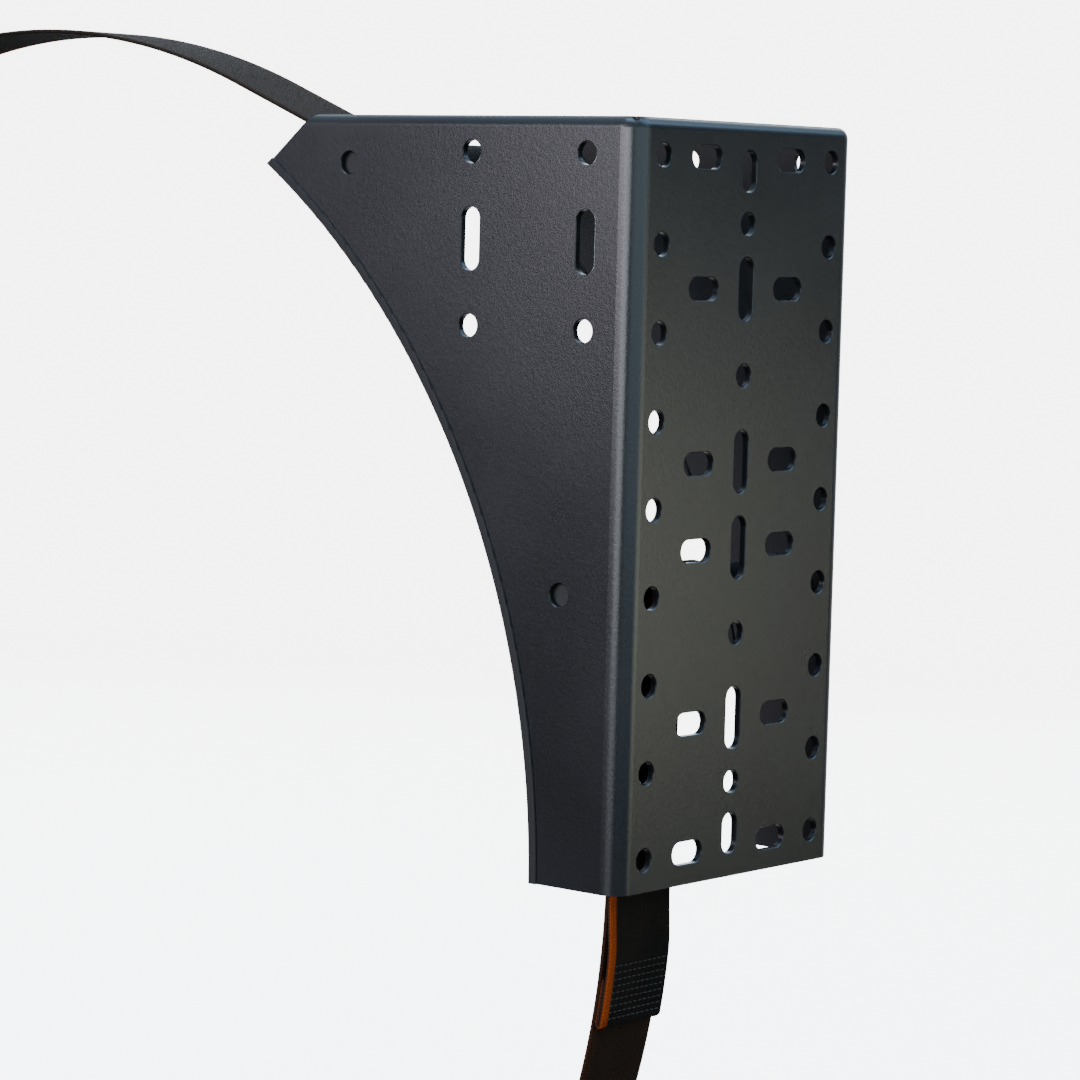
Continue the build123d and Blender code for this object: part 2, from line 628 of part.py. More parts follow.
# ---------------------------------------------------------------- ratchet: handle and grip
grip_at = (grip_end_u, drive_v)
elbow_at = (elbow_u, drive_v + elbow_rise)
with BuildPart() as ratchet_handle:
    for side in (-1, 1):
        with BuildSketch(side_plane(strap_y + side * (handle_in + handle_t / 2))):
            with BuildSketch(mode=Mode.PRIVATE) as root:
                with Locations((0, spool_v)):
                    Circle(handle_nose_r)
                with Locations(elbow_at):
                    Circle(elbow_r)
            add(make_hull(root.sketch.edges(), mode=Mode.PRIVATE))
            with BuildSketch(mode=Mode.PRIVATE) as arm:
                with Locations(elbow_at):
                    Circle(elbow_r)
                with Locations((grip_end_u, grip_v)):
                    Circle(handle_end_r)
            add(make_hull(arm.sketch.edges(), mode=Mode.PRIVATE))
            with Locations((0, spool_v)):
                Circle(spool_r + bore_fit, mode=Mode.SUBTRACT)
            with Locations(grip_at):
                Circle(grip_pin_r + joint_fit, mode=Mode.SUBTRACT)
            with Locations((shoulder - drive_ear[1] / 2, drive_v)):
                Rectangle(drive_ear[1] + 2 * drive_slot_play, pawl_t + 2 * pawl_fit, mode=Mode.SUBTRACT)
        extrude(amount=handle_t / 2, both=True)
    # spring seat across the handle, with a hole for the pawl's guide rod
    with BuildSketch(side_plane(strap_y)):
        with Locations((seat_u, drive_v + seat_rise)):
            Rectangle(seat_t, seat_h, align=(Align.MAX, Align.CENTER))
    extrude(amount=handle_in + handle_t / 2, both=True)
    with BuildSketch(along_plane(drive_v, seat_u)):
        Circle(rod_hole_r)
    extrude(amount=2 * seat_t, both=True, mode=Mode.SUBTRACT)
    # cover plate over the grip half
    seat_top = drive_v + seat_rise + seat_h / 2
    cover_end = grip_v + handle_end_r
    with BuildSketch(side_plane(strap_y)):
        with BuildLine():
            Polyline((seat_u, seat_top), (seat_u, seat_top + cover_t), (grip_end_u, cover_end),
                     (grip_end_u, cover_end - cover_t), close=True)
        make_face()
    extrude(amount=handle_in + handle_t / 2, both=True)
keep(ratchet_handle.part, "ratchet_handle")

with BuildPart() as handle_grip:
    with BuildSketch(side_plane(strap_y)):
        with Locations(grip_at):
            Circle(grip_r)
    extrude(amount=handle_in - bore_fit, both=True)
    fillet(handle_grip.edges().filter_by(GeomType.CIRCLE), grip_round)
    with BuildSketch(side_plane(strap_y)):
        with Locations(grip_at):
            Circle(grip_pin_r + joint_fit)
    extrude(amount=handle_in, both=True, mode=Mode.SUBTRACT)
keep(handle_grip.part, "handle_grip")

with BuildPart() as grip_pin:
    with BuildSketch(side_plane(strap_y)):
        with Locations(grip_at):
            Circle(grip_pin_r)
    extrude(amount=handle_in + handle_t, both=True)
    for side in (-1, 1):
        with BuildSketch(side_plane(strap_y + side * (handle_in + handle_t + grip_pin_head_h / 2))):
            with Locations(grip_at):
                Circle(grip_pin_head_r)
        extrude(amount=grip_pin_head_h / 2, both=True)
keep(grip_pin.part, "grip_pin")

# ---------------------------------------------------------------- files
os.makedirs("parts", exist_ok=True)
for piece in pieces:
    export_step(piece, f"parts/{piece.label}.step")
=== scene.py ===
import random
from bisect import bisect_right
from math import acos, atan2, cos, degrees, exp, hypot, pi, radians, sin

import bpy
from mathutils import Matrix, Vector


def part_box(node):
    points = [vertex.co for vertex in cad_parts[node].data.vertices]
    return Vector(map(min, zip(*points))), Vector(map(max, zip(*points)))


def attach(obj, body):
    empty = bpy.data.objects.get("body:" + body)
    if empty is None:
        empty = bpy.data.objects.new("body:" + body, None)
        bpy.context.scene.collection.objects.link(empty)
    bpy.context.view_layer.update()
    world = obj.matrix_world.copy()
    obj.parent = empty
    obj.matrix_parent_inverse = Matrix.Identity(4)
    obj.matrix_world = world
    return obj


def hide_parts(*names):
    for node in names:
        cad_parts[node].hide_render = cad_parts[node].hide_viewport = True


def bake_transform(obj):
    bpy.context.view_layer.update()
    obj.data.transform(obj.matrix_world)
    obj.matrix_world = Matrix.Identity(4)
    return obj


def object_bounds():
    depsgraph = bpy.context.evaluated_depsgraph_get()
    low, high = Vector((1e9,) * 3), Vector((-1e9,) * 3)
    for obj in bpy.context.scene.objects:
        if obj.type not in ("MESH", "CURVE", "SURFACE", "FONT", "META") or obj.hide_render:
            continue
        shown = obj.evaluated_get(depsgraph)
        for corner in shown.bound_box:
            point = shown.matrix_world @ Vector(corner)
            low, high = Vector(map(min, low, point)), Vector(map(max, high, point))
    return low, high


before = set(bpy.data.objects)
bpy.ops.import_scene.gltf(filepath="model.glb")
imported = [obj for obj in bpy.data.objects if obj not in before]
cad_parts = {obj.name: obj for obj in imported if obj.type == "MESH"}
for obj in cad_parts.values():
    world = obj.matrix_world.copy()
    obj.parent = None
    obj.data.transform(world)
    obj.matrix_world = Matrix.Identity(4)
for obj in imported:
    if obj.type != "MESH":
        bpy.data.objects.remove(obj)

# Spare tyre carrier: folded steel box, webbing straps round the tyre and a ratchet behind it.
# Everything is in metres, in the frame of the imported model, with the tyre's axis along Y
# through the origin. Angles in the X-Z plane are in degrees, from +X towards +Z.
cad_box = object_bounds()
random.seed(11)

# ------------------------------------------------------------------ camera and lights
CAMERA_TARGET = Vector((0.3142, 0.0, 0.1451))
CAMERA_DISTANCE = 1.7285
CAMERA_AZIMUTH = 39.75
CAMERA_ELEVATION = 5.0
CAMERA_ROLL = 1.52
CAMERA_LENS = 124.43

LIGHT_TARGET = Vector((0.2, 0.0, 0.1))
# azimuth, elevation, distance, (width, height), power, colour
LIGHTS = {
    "key_light": (-14, 13, 2.6, (1.7, 0.9), 46, (0.94, 0.89, 1.0)),
    "bend_light": (15, 7, 2.6, (1.3, 1.1), 33, (0.88, 0.93, 1.0)),
    "front_light": (80, 9, 2.6, (3.9, 1.2), 27, (0.66, 0.86, 1.0)),
    "panel_light": (125, -4, 2.6, (1.2, 0.5), 6.0, (1.0, 1.0, 0.80)),
    "top_light": (20, 80, 2.6, (2.0, 2.0), 58, (0.52, 0.75, 1.0)),
    "sky_light": (128, 48, 2.6, (2.2, 1.6), 34, (0.36, 0.66, 1.0)),
    "back_light": (216, 18, 3.4, (3.2, 2.6), 95, (0.64, 0.82, 1.0)),
    "side_light": (262, 12, 3.4, (2.0, 2.4), 70, (0.94, 0.97, 1.0)),
}


def back_vector(azimuth, elevation):
    """Unit vector from a target towards its viewer, who looks along +Y at azimuth 0."""
    a, e = radians(azimuth), radians(elevation)
    return Vector((sin(a) * cos(e), -cos(a) * cos(e), sin(e))).normalized()


def aim(obj, target, back, distance, roll=0.0):
    """Put obj at a distance along back from target, looking at target."""
    right = Vector((0, 0, 1)).cross(back).normalized()
    up = back.cross(right)
    rolled = right * cos(roll) + up * sin(roll)
    turn = Matrix((rolled, back.cross(rolled), back)).transposed().to_4x4()
    obj.matrix_world = Matrix.Translation(target + back * distance) @ turn


def add_object(name, data):
    obj = bpy.data.objects.new(name, data)
    bpy.context.scene.collection.objects.link(obj)
    return obj


camera_data = bpy.data.cameras.new("camera")
camera_data.lens = CAMERA_LENS
camera = add_object("camera", camera_data)
bpy.context.scene.camera = camera
aim(camera, CAMERA_TARGET, back_vector(CAMERA_AZIMUTH, CAMERA_ELEVATION), CAMERA_DISTANCE,
    radians(CAMERA_ROLL))

for light_name, (azimuth, elevation, distance, size, power, colour) in LIGHTS.items():
    light_data = bpy.data.lights.new(light_name, "AREA")
    light_data.shape = "RECTANGLE"
    light_data.size, light_data.size_y = size
    light_data.energy = power
    light_data.color = colour
    light = add_object(light_name, light_data)
    aim(light, LIGHT_TARGET, back_vector(azimuth, elevation), distance)


# ------------------------------------------------------------------ node helpers
def feed(tree, socket, value):
    """Set an input socket to a value, or link it to another node's output socket."""
    if isinstance(value, bpy.types.NodeSocket):
        tree.links.new(value, socket)
    else:
        socket.default_value = value


def node(tree, kind, inputs=(), **settings):
    """A shader node with its settings; each input is a value or another node's socket."""
    made = tree.nodes.new(kind)
    for key, value in settings.items():
        setattr(made, key, value)
    for key, value in dict(inputs).items():
        feed(tree, made.inputs[key], value)
    return made


def math_node(tree, operation, *values):
    return node(tree, "ShaderNodeMath", enumerate(values), operation=operation).outputs[0]


def scaled(tree, value, times, plus):
    return math_node(tree, "MULTIPLY_ADD", value, times, plus)


# sockets of a Mix node that mixes colours
MIX_FACTOR, MIX_FIRST, MIX_SECOND, MIX_RESULT = 0, 6, 7, 2


def mix_colour(tree, factor, first, second):
    made = node(tree, "ShaderNodeMix", data_type="RGBA")
    for index, value in ((MIX_FACTOR, factor), (MIX_FIRST, first), (MIX_SECOND, second)):
        feed(tree, made.inputs[index], (*value, 1.0) if isinstance(value, tuple) else value)
    return made.outputs[MIX_RESULT]


def tinted(tree, body, amount, strength, colour):
    """Body, mixed towards a colour by an amount times a strength."""
    return mix_colour(tree, math_node(tree, "MULTIPLY", amount, strength), body, colour)


def ramp(tree, value, *stops):
    """Map a value through (position, grey level) stops."""
    made = node(tree, "ShaderNodeValToRGB", {0: value})
    bar = made.color_ramp.elements
    while len(bar) < len(stops):
        bar.new(0.5)
    for element, (position, grey) in zip(bar, stops):
        element.position = position
        element.color = (grey, grey, grey, 1.0)
    return made.outputs[0]


def noise(tree, where, scale, detail=2.0, roughness=0.5):
    inputs = {"Vector": where, "Scale": scale, "Detail": detail, "Roughness": roughness}
    return node(tree, "ShaderNodeTexNoise", inputs).outputs["Fac"]


def vector_node(tree, operation, *values):
    return node(tree, "ShaderNodeVectorMath", enumerate(values), operation=operation)


def stretched(tree, where, scale):
    return vector_node(tree, "MULTIPLY", where, scale).outputs[0]


def bump(tree, height, distance, strength, below=None):
    inputs = {"Height": height, "Distance": distance, "Strength": strength}
    if below is not None:
        inputs["Normal"] = below
    return node(tree, "ShaderNodeBump", inputs).outputs[0]


def linear(red, green, blue):
    """Scene colour of an sRGB colour given from 0 to 255."""
    return tuple(((c / 255 + 0.055) / 1.055) ** 2.4 if c > 10 else c / 255 / 12.92
                 for c in (red, green, blue))


def material(name):
    """A new material, its node tree, its main shader and the object-space position."""
    made = bpy.data.materials.new(name)
    made.use_nodes = True
    tree = made.node_tree
    where = node(tree, "ShaderNodeTexCoord").outputs["Object"]
    return made, tree, tree.nodes["Principled BSDF"], where


SHADER_INPUTS = {"colour": "Base Color", "rough": "Roughness", "normal": "Normal"}


def connect(tree, shader, **sockets):
    for key, socket in sockets.items():
        tree.links.new(socket, shader.inputs[SHADER_INPUTS[key]])


# ------------------------------------------------------------------ materials
SHEET_T = 0.003
FACE_MARGIN = 0.0002
body_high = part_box("carrier_body")[1]
INNER_X = body_high.x - SHEET_T + FACE_MARGIN
INNER_Y = body_high.y - SHEET_T + FACE_MARGIN


def powder_coat():
    made, tree, shader, where = material("powder_coat")
    cloud = noise(tree, where, scale=14.0, detail=3.0)
    body = mix_colour(tree, ramp(tree, cloud, (0.35, 0.0), (0.65, 1.0)),
                      linear(20, 21, 23), linear(25, 26, 28))
    fleck = ramp(tree, noise(tree, where, scale=2300.0, detail=0.0), (0.70, 0.0), (0.78, 1.0))
    body = tinted(tree, body, fleck, strength=0.30, colour=linear(66, 68, 72))
    # faint upright scuffs, in a few patches
    scuff_line = noise(tree, stretched(tree, where, (260.0, 260.0, 90.0)), scale=1.0, detail=2.0)
    scuff_patch = noise(tree, where, scale=16.0, detail=1.0)
    scuff = math_node(tree, "MULTIPLY", ramp(tree, scuff_line, (0.74, 0.0), (0.80, 1.0)),
                      ramp(tree, scuff_patch, (0.64, 0.0), (0.72, 1.0)))
    body = tinted(tree, body, scuff, strength=0.2, colour=linear(84, 86, 92))
    rough = scaled(tree, cloud, times=0.08, plus=0.25)
    orange_peel = noise(tree, where, scale=620.0, detail=2.0)
    pebble = noise(tree, where, scale=1500.0, detail=1.0)
    normal = bump(tree, orange_peel, distance=0.00007, strength=0.6)
    normal = bump(tree, pebble, distance=0.00004, strength=0.8, below=normal)
    # painted shade: the inner faces of the box are darkened, standing in for the shade inside it,
    # and made matt
    split = node(tree, "ShaderNodeSeparateXYZ", {0: where}).outputs
    within_x = math_node(tree, "LESS_THAN", split["X"], INNER_X)
    within_y = math_node(tree, "LESS_THAN", math_node(tree, "ABSOLUTE", split["Y"]), INNER_Y)
    shaded_inside = math_node(tree, "MULTIPLY", within_y, within_x)
    # painted shade: the inner faces are mixed towards near black
    body = tinted(tree, body, shaded_inside, strength=0.55, colour=linear(6, 6, 7))
    rough = math_node(tree, "MULTIPLY_ADD", shaded_inside, 0.35, rough)
    connect(tree, shader, colour=body, rough=rough, normal=normal)
    shader.inputs["Specular IOR Level"].default_value = 0.55
    return made


def rubber():
    made, tree, shader, where = material("trim_rubber")
    dust = noise(tree, where, scale=60.0, detail=4.0)
    body = mix_colour(tree, ramp(tree, dust, (0.4, 0.0), (0.75, 1.0)),
                      linear(11, 11, 12), linear(22, 22, 22))
    rough = scaled(tree, dust, times=0.2, plus=0.62)
    grain = noise(tree, where, scale=900.0, detail=2.0)
    connect(tree, shader, colour=body, rough=rough,
            normal=bump(tree, grain, distance=0.0002, strength=0.5))
    return made


DULL = 0.62


def plated(name, tint, brushed):
    """Dull metal plating with a straw-coloured bloom; brushed stretches its grain."""
    made, tree, shader, where = material(name)
    cloud = noise(tree, where, scale=45.0, detail=4.0)
    dark = tuple(c * DULL for c in linear(*tint))
    body = mix_colour(tree, ramp(tree, cloud, (0.3, 0.0), (0.7, 1.0)), dark, linear(*tint))
    straw = ramp(tree, noise(tree, where, scale=24.0, detail=2.0), (0.5, 0.0), (0.72, 1.0))
    body = tinted(tree, body, straw, strength=0.35, colour=linear(176, 166, 132))
    grain = noise(tree, stretched(tree, where, brushed), scale=8.0, detail=3.0)
    connect(tree, shader, colour=body, rough=scaled(tree, grain, times=0.22, plus=0.32),
            normal=bump(tree, grain, distance=0.00008, strength=0.6))
    shader.inputs["Metallic"].default_value = 1.0
    return made


def moulded_plastic():
    made, tree, shader, where = material("grip_plastic")
    cloud = noise(tree, where, scale=80.0, detail=3.0)
    body = mix_colour(tree, cloud, linear(22, 22, 24), linear(36, 36, 38))
    rough = scaled(tree, cloud, times=0.15, plus=0.38)
    grain = noise(tree, where, scale=1300.0, detail=1.0)
    connect(tree, shader, colour=body, rough=rough,
            normal=bump(tree, grain, distance=0.00012, strength=0.6))
    return made


WEB_W = 0.044
STRIPE_W = 0.0048
YARN_PITCH = 0.0011
KNOT_PITCH = 0.0017
TWILL_SHIFT = 1.6


def webbing():
    """Woven polyester.

    The mesh holds (along, across, face) for each point, with face 1 on the striped face.
    """
    made, tree, shader, where = material("webbing")
    strap = node(tree, "ShaderNodeAttribute", attribute_name="weave").outputs["Vector"]
    along, across, face = node(tree, "ShaderNodeSeparateXYZ", {0: strap}).outputs
    # yarns across the strap, with knots along them that sway from yarn to yarn
    yarn_angle = math_node(tree, "MULTIPLY", across, 2 * pi / YARN_PITCH)
    sway = math_node(tree, "SINE", math_node(tree, "MULTIPLY", yarn_angle, 0.5))
    knot_angle = math_node(tree, "ADD", math_node(tree, "MULTIPLY", along, 2 * pi / KNOT_PITCH),
                           math_node(tree, "MULTIPLY", sway, TWILL_SHIFT))
    yarn = math_node(tree, "MULTIPLY", math_node(tree, "SINE", yarn_angle), 0.5)
    knot = math_node(tree, "MULTIPLY", math_node(tree, "SINE", knot_angle), 0.5)
    weave = math_node(tree, "ADD", yarn, knot)
    shade = scaled(tree, weave, times=0.25, plus=0.5)

    striped = mix_colour(tree, shade, linear(8, 7, 6), linear(28, 24, 21))
    bare = mix_colour(tree, shade, linear(16, 9, 5), linear(52, 34, 21))
    body = mix_colour(tree, face, bare, striped)
    from_edge = math_node(tree, "MULTIPLY", math_node(tree, "ADD", across, WEB_W / 2),
                          1 / STRIPE_W)
    stripe = math_node(tree, "MULTIPLY", ramp(tree, from_edge, (0.80, 1.0), (1.0, 0.0)),
                       ramp(tree, face, (0.55, 0.04), (0.95, 1.0)))
    orange = mix_colour(tree, shade, linear(112, 36, 4), linear(190, 84, 18))
    body = mix_colour(tree, stripe, body, orange)
    dust = ramp(tree, noise(tree, where, scale=26.0, detail=3.0), (0.45, 0.0), (0.8, 1.0))
    body = tinted(tree, body, dust, strength=0.12, colour=linear(84, 70, 54))
    fuzz = noise(tree, where, scale=1800.0, detail=3.0, roughness=0.7)
    body = tinted(tree, body, fuzz, strength=0.1, colour=linear(54, 44, 35))

    normal = bump(tree, weave, distance=0.00022, strength=0.8)
    normal = bump(tree, fuzz, distance=0.00010, strength=0.5, below=normal)
    connect(tree, shader, colour=body, rough=scaled(tree, fuzz, times=0.2, plus=0.72),
            normal=normal)
    shader.inputs["Specular IOR Level"].default_value = 0.12
    return made


def thread():
    made, tree, shader, where = material("stitch_thread")
    twist = noise(tree, stretched(tree, where, (1.0, 1.0, 4.0)), scale=900.0, detail=2.0)
    body = mix_colour(tree, twist, linear(14, 14, 15), linear(62, 60, 59))
    connect(tree, shader, colour=body, rough=scaled(tree, twist, times=0.2, plus=0.5),
            normal=bump(tree, twist, distance=0.0001, strength=0.6))
    return made


finish = {
    "powder_coat": powder_coat(),
    "trim_rubber": rubber(),
    "webbing": webbing(),
    "zinc_plate": plated("zinc_plate", tint=(205, 208, 209), brushed=(400.0, 60.0, 60.0)),
    "spring_steel": plated("spring_steel", tint=(128, 128, 130), brushed=(60.0, 60.0, 500.0)),
    "grip_plastic": moulded_plastic(),
    "thread": thread(),
}

NODE_FINISH = {
    "powder_coat": ("carrier_body", "upper_cross_bar", "lower_cross_bar", "cross_bar_welds"),
    "trim_rubber": ("near_edge_trim", "far_edge_trim"),
    "zinc_plate": ("spool_half_inner", "spool_half_outer", "spool_pins",
                   "near_ratchet_wheel", "far_ratchet_wheel",
                   "ratchet_frame", "anchor_bolt", "anchor_nut", "anchor_sleeve",
                   "lock_pawl", "drive_pawl", "ratchet_handle", "grip_pin"),
}
for finish_name, node_names in NODE_FINISH.items():
    for node_name in node_names:
        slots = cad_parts[node_name].data.materials
        slots.clear()
        slots.append(finish[finish_name])

# width of the eased edges of the parts with sharp ones
EASED_EDGES = {
    0.0003: ("ratchet_frame", "ratchet_handle", "lock_pawl", "drive_pawl",
             "anchor_bolt", "anchor_nut"),
    0.0002: ("near_ratchet_wheel", "far_ratchet_wheel"),
}
EASED_ANGLE = 50
for ease_width, node_names in EASED_EDGES.items():
    for node_name in node_names:
        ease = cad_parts[node_name].modifiers.new("eased_edges", "BEVEL")
        ease.limit_method = "ANGLE"
        ease.angle_limit = radians(EASED_ANGLE)
        ease.width = ease_width
        ease.segments = 2
        ease.harden_normals = True


# ------------------------------------------------------------------ mesh helpers
def mesh_piece(name, points, faces, finish_name, body=None, weave=None):
    """A smooth mesh with a finish. It rides on a body, if one is given."""
    data = bpy.data.meshes.new(name)
    data.from_pydata(points, [], faces)
    data.update()
    if weave:
        layer = data.attributes.new("weave", "FLOAT_VECTOR", "POINT")
        layer.data.foreach_set("vector", [value for row in weave for value in row])
    for polygon in data.polygons:
        polygon.use_smooth = True
    data.materials.append(finish[finish_name])
    obj = add_object(name, data)
    if body:
        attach(obj, body)
    return obj


def tube_faces(base, rings, sides):
    """Faces of a tube with a cap on each end: rings of points, the first one from index base."""
    faces = []
    for start in range(base, base + (rings - 1) * sides, sides):
        for k in range(sides):
            a, b = start + k, start + (k + 1) % sides
            faces.append((a, b, b + sides, a + sides))
    last = base + (rings - 1) * sides
    faces.append(tuple(range(base + sides - 1, base - 1, -1)))
    faces.append(tuple(range(last, last + sides)))
    return faces


# ------------------------------------------------------------------ strap routes in the X-Z plane
WEB_T = 0.0022
LAYER_STEP = WEB_T + 0.0001
BAR_GAP = 0.0002
ARC_STEP = 0.001
TYRE_CENTRE = (0.0, 0.0)
strap_low, strap_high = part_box("lower_strap")
STRAP_R = -strap_low.z - WEB_T / 2
STRAP_Y = (strap_low.y + strap_high.y) / 2


def bar(name):
    """Centre in the X-Z plane and outer radius of a round node that lies across the strap."""
    low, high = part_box(name)
    return ((low.x + high.x) / 2, (low.z + high.z) / 2), (high.x - low.x) / 2


def polar(radius, angle, centre=TYRE_CENTRE):
    return (centre[0] + radius * cos(radians(angle)), centre[1] + radius * sin(radians(angle)))


def bearing(point):
    """Angle of a point about the tyre's centre."""
    return degrees(atan2(point[1], point[0])) % 360


def arc(centre, radius, start, end):
    count = max(2, int(abs(radians(end - start)) * radius / ARC_STEP) + 1)
    return [polar(radius, start + (end - start) * k / count, centre) for k in range(count + 1)]


EYE_POINTS = 60


class Eye:
    """A sewn eye of webbing round a bar.

    Its run goes straight from the bar to the tyre. side is 1 where the run touches the tyre
    further round than the bar, and -1 where it touches it less far round. merge is how far
    along the run, from the bar's centre, the folded layer meets the main one.
    """

    def __init__(self, name, side, merge):
        self.centre, bar_radius = bar(name)
        self.radius = bar_radius + BAR_GAP + WEB_T / 2
        swing = degrees(acos((STRAP_R + self.radius) / hypot(*self.centre)))
        self.normal = bearing(self.centre) + side * swing
        self.on_bar = polar(-self.radius, self.normal, self.centre)
        self.on_tyre = polar(STRAP_R, self.normal)
        self.run = hypot(self.on_tyre[0] - self.on_bar[0], self.on_tyre[1] - self.on_bar[1])
        self.merge = (merge, LAYER_STEP - self.radius)
        lean = degrees(atan2(self.merge[1], self.merge[0]))
        self.leave = lean + degrees(acos(self.radius / hypot(*self.merge)))

    def place(self, along, out):
        """Point along the run from the bar's centre, and out from the tyre."""
        ux = (self.on_tyre[0] - self.on_bar[0]) / self.run
        uz = (self.on_tyre[1] - self.on_bar[1]) / self.run
        nx, nz = polar(1, self.normal)
        return (self.centre[0] + along * ux + out * nx, self.centre[1] + along * uz + out * nz)

    def route(self, fold_end):
        """From the folded layer's end, round the bar, to the start of the main layer."""
        sweep = (-90.0 - self.leave) % 360
        ring = [self.place(*polar(self.radius, self.leave + sweep * k / EYE_POINTS))
                for k in range(EYE_POINTS + 1)]
        return [self.place(fold_end, self.merge[1]), self.place(*self.merge)] + ring


def between(a, b, t):
    return (a[0] + (b[0] - a[0]) * t, a[1] + (b[1] - a[1]) * t)


PATH_STEP = 0.0008
SAME_POINT = 1e-7
TINY = 1e-9
NORMAL_REACH = 0.0012


class Path:
    """A route in the X-Z plane that gives its point and left-hand normal at any length."""

    def __init__(self, corners):
        self.points = [corners[0]]
        for x, z in corners[1:]:
            last_x, last_z = self.points[-1]
            gap = hypot(x - last_x, z - last_z)
            if gap < SAME_POINT:
                continue
            count = max(1, int(gap / PATH_STEP))
            self.points += [(last_x + (x - last_x) * k / count, last_z + (z - last_z) * k / count)
                            for k in range(1, count + 1)]
        self.reach = [0.0]
        for a, b in zip(self.points, self.points[1:]):
            self.reach.append(self.reach[-1] + hypot(b[0] - a[0], b[1] - a[1]))
        self.length = self.reach[-1]

    def point(self, s):
        s = min(max(s, 0.0), self.length)
        i = min(bisect_right(self.reach, s), len(self.reach) - 1) - 1
        t = (s - self.reach[i]) / max(self.reach[i + 1] - self.reach[i], TINY)
        return between(self.points[i], self.points[i + 1], t)

    def pose(self, s):
        """Point, and the unit normal to the left of the way along."""
        a, b = self.point(s - NORMAL_REACH), self.point(s + NORMAL_REACH)
        size = max(hypot(b[0] - a[0], b[1] - a[1]), TINY)
        tx, tz = (b[0] - a[0]) / size, (b[1] - a[1]) / size
        return self.point(s), (-tz, tx)


# ------------------------------------------------------------------ webbing mesh
RIBS = 13
POINTS_PER_RIB = 4
RIB_FLOOR = 0.86
RIB_POWER = 0.6
EDGE_ROUND = 0.9
EDGE_STEPS = 6
DRIFT_STEP = 0.09
DRIFT = 0.0005
TILT_REACH = 0.06
TURN_REACH = 0.004
SHARP_TURN, SHARP_STEP = 0.12, 0.0011
SLIGHT_TURN, SLIGHT_STEP = 0.03, 0.003
STRAIGHT_STEP = 0.005


def webbing_section():
    """Closed section of the webbing, with ribs on both faces and round edges.

    Each point is (across, out, face), with face 1 on the striped face and 0 on the other.
    """
    section = []
    half_t = WEB_T / 2
    edge = half_t * EDGE_ROUND
    flat = WEB_W / 2 - edge
    count = RIBS * POINTS_PER_RIB
    for sign in (1, -1):
        for k in range(count + 1)[::sign]:
            t = k / count
            rib = abs(sin(pi * RIBS * t)) ** RIB_POWER
            height = half_t * (RIB_FLOOR + (1 - RIB_FLOOR) * rib)
            section.append((-flat + 2 * flat * t, sign * height, 1.0 if sign > 0 else 0.0))
        for k in range(1, EDGE_STEPS):
            a = sign * pi / 2 - pi * k / EDGE_STEPS
            section.append((sign * flat + edge * cos(a), half_t * RIB_FLOOR * sin(a),
                            0.5 + 0.5 * sin(a)))
    return section


SECTION = webbing_section()


def stations_along(path):
    """Lengths at which a section is placed, closer where the route turns more."""
    stations, s = [], 0.0
    while s < path.length:
        stations.append(s)
        here, ahead = path.pose(s)[1], path.pose(min(s + TURN_REACH, path.length))[1]
        turn = abs(here[0] * ahead[1] - here[1] * ahead[0])
        if turn > SHARP_TURN:
            s += SHARP_STEP
        elif turn > SLIGHT_TURN:
            s += SLIGHT_STEP
        else:
            s += STRAIGHT_STEP
    return stations + [path.length]


def webbing_piece(name, route, body, striped_left, replaces, tilt=0.0, stripe_edge=1):
    """Webbing along a route, striped on the face to the left of the way along or on the other.

    tilt is how far the route's start leans along the strap for each metre across it.
    stripe_edge is 1 for the stripe along the near edge and -1 for the far edge.
    """
    path = Path(route)
    stations = stations_along(path)
    wander = [random.uniform(-1, 1) for _ in range(int(path.length / DRIFT_STEP) + 3)]
    sign = 1.0 if striped_left else -1.0
    points, weave = [], []
    for s in stations:
        k = int(s / DRIFT_STEP)
        t = s / DRIFT_STEP - k
        t = t * t * (3 - 2 * t)
        drift = (wander[k] * (1 - t) + wander[k + 1] * t) * DRIFT
        lean = tilt * exp(-s / TILT_REACH)
        for across, out, face in SECTION:
            (x, z), (nx, nz) = path.pose(s + lean * across)
            lift = out * sign
            points.append((x + nx * lift, STRAP_Y + across + drift, z + nz * lift))
            weave.append((s, across * stripe_edge, face))
    faces = tube_faces(0, len(stations), len(SECTION))
    if not striped_left:
        faces = [face[::-1] for face in faces]
    obj = mesh_piece(name, points, faces, "webbing", body, weave)
    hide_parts(*replaces)
    return path


EYE_MERGE = 0.046
ANCHOR_MERGE = 0.030
UPPER_FOLD = 0.074
ANCHOR_FOLD = 0.070
COIL_GAP = 0.0003
WRAP_ON_COIL = 150.0

upper_eye = Eye("upper_cross_bar", 1, EYE_MERGE)
lower_eye = Eye("lower_cross_bar", -1, EYE_MERGE)
anchor_eye = Eye("anchor_sleeve", 1, ANCHOR_MERGE)
spool_centre, coil_r = bar("wound_webbing")
wrap_r = coil_r + COIL_GAP + WEB_T / 2
wrap_normal = bearing(spool_centre) - degrees(acos((STRAP_R + wrap_r) / hypot(*spool_centre)))
upper_route = (upper_eye.route(UPPER_FOLD) + [upper_eye.on_bar, upper_eye.on_tyre]
               + arc(TYRE_CENTRE, STRAP_R, upper_eye.normal, wrap_normal)
               + arc(spool_centre, wrap_r, wrap_normal + 180, wrap_normal + 180 - WRAP_ON_COIL))

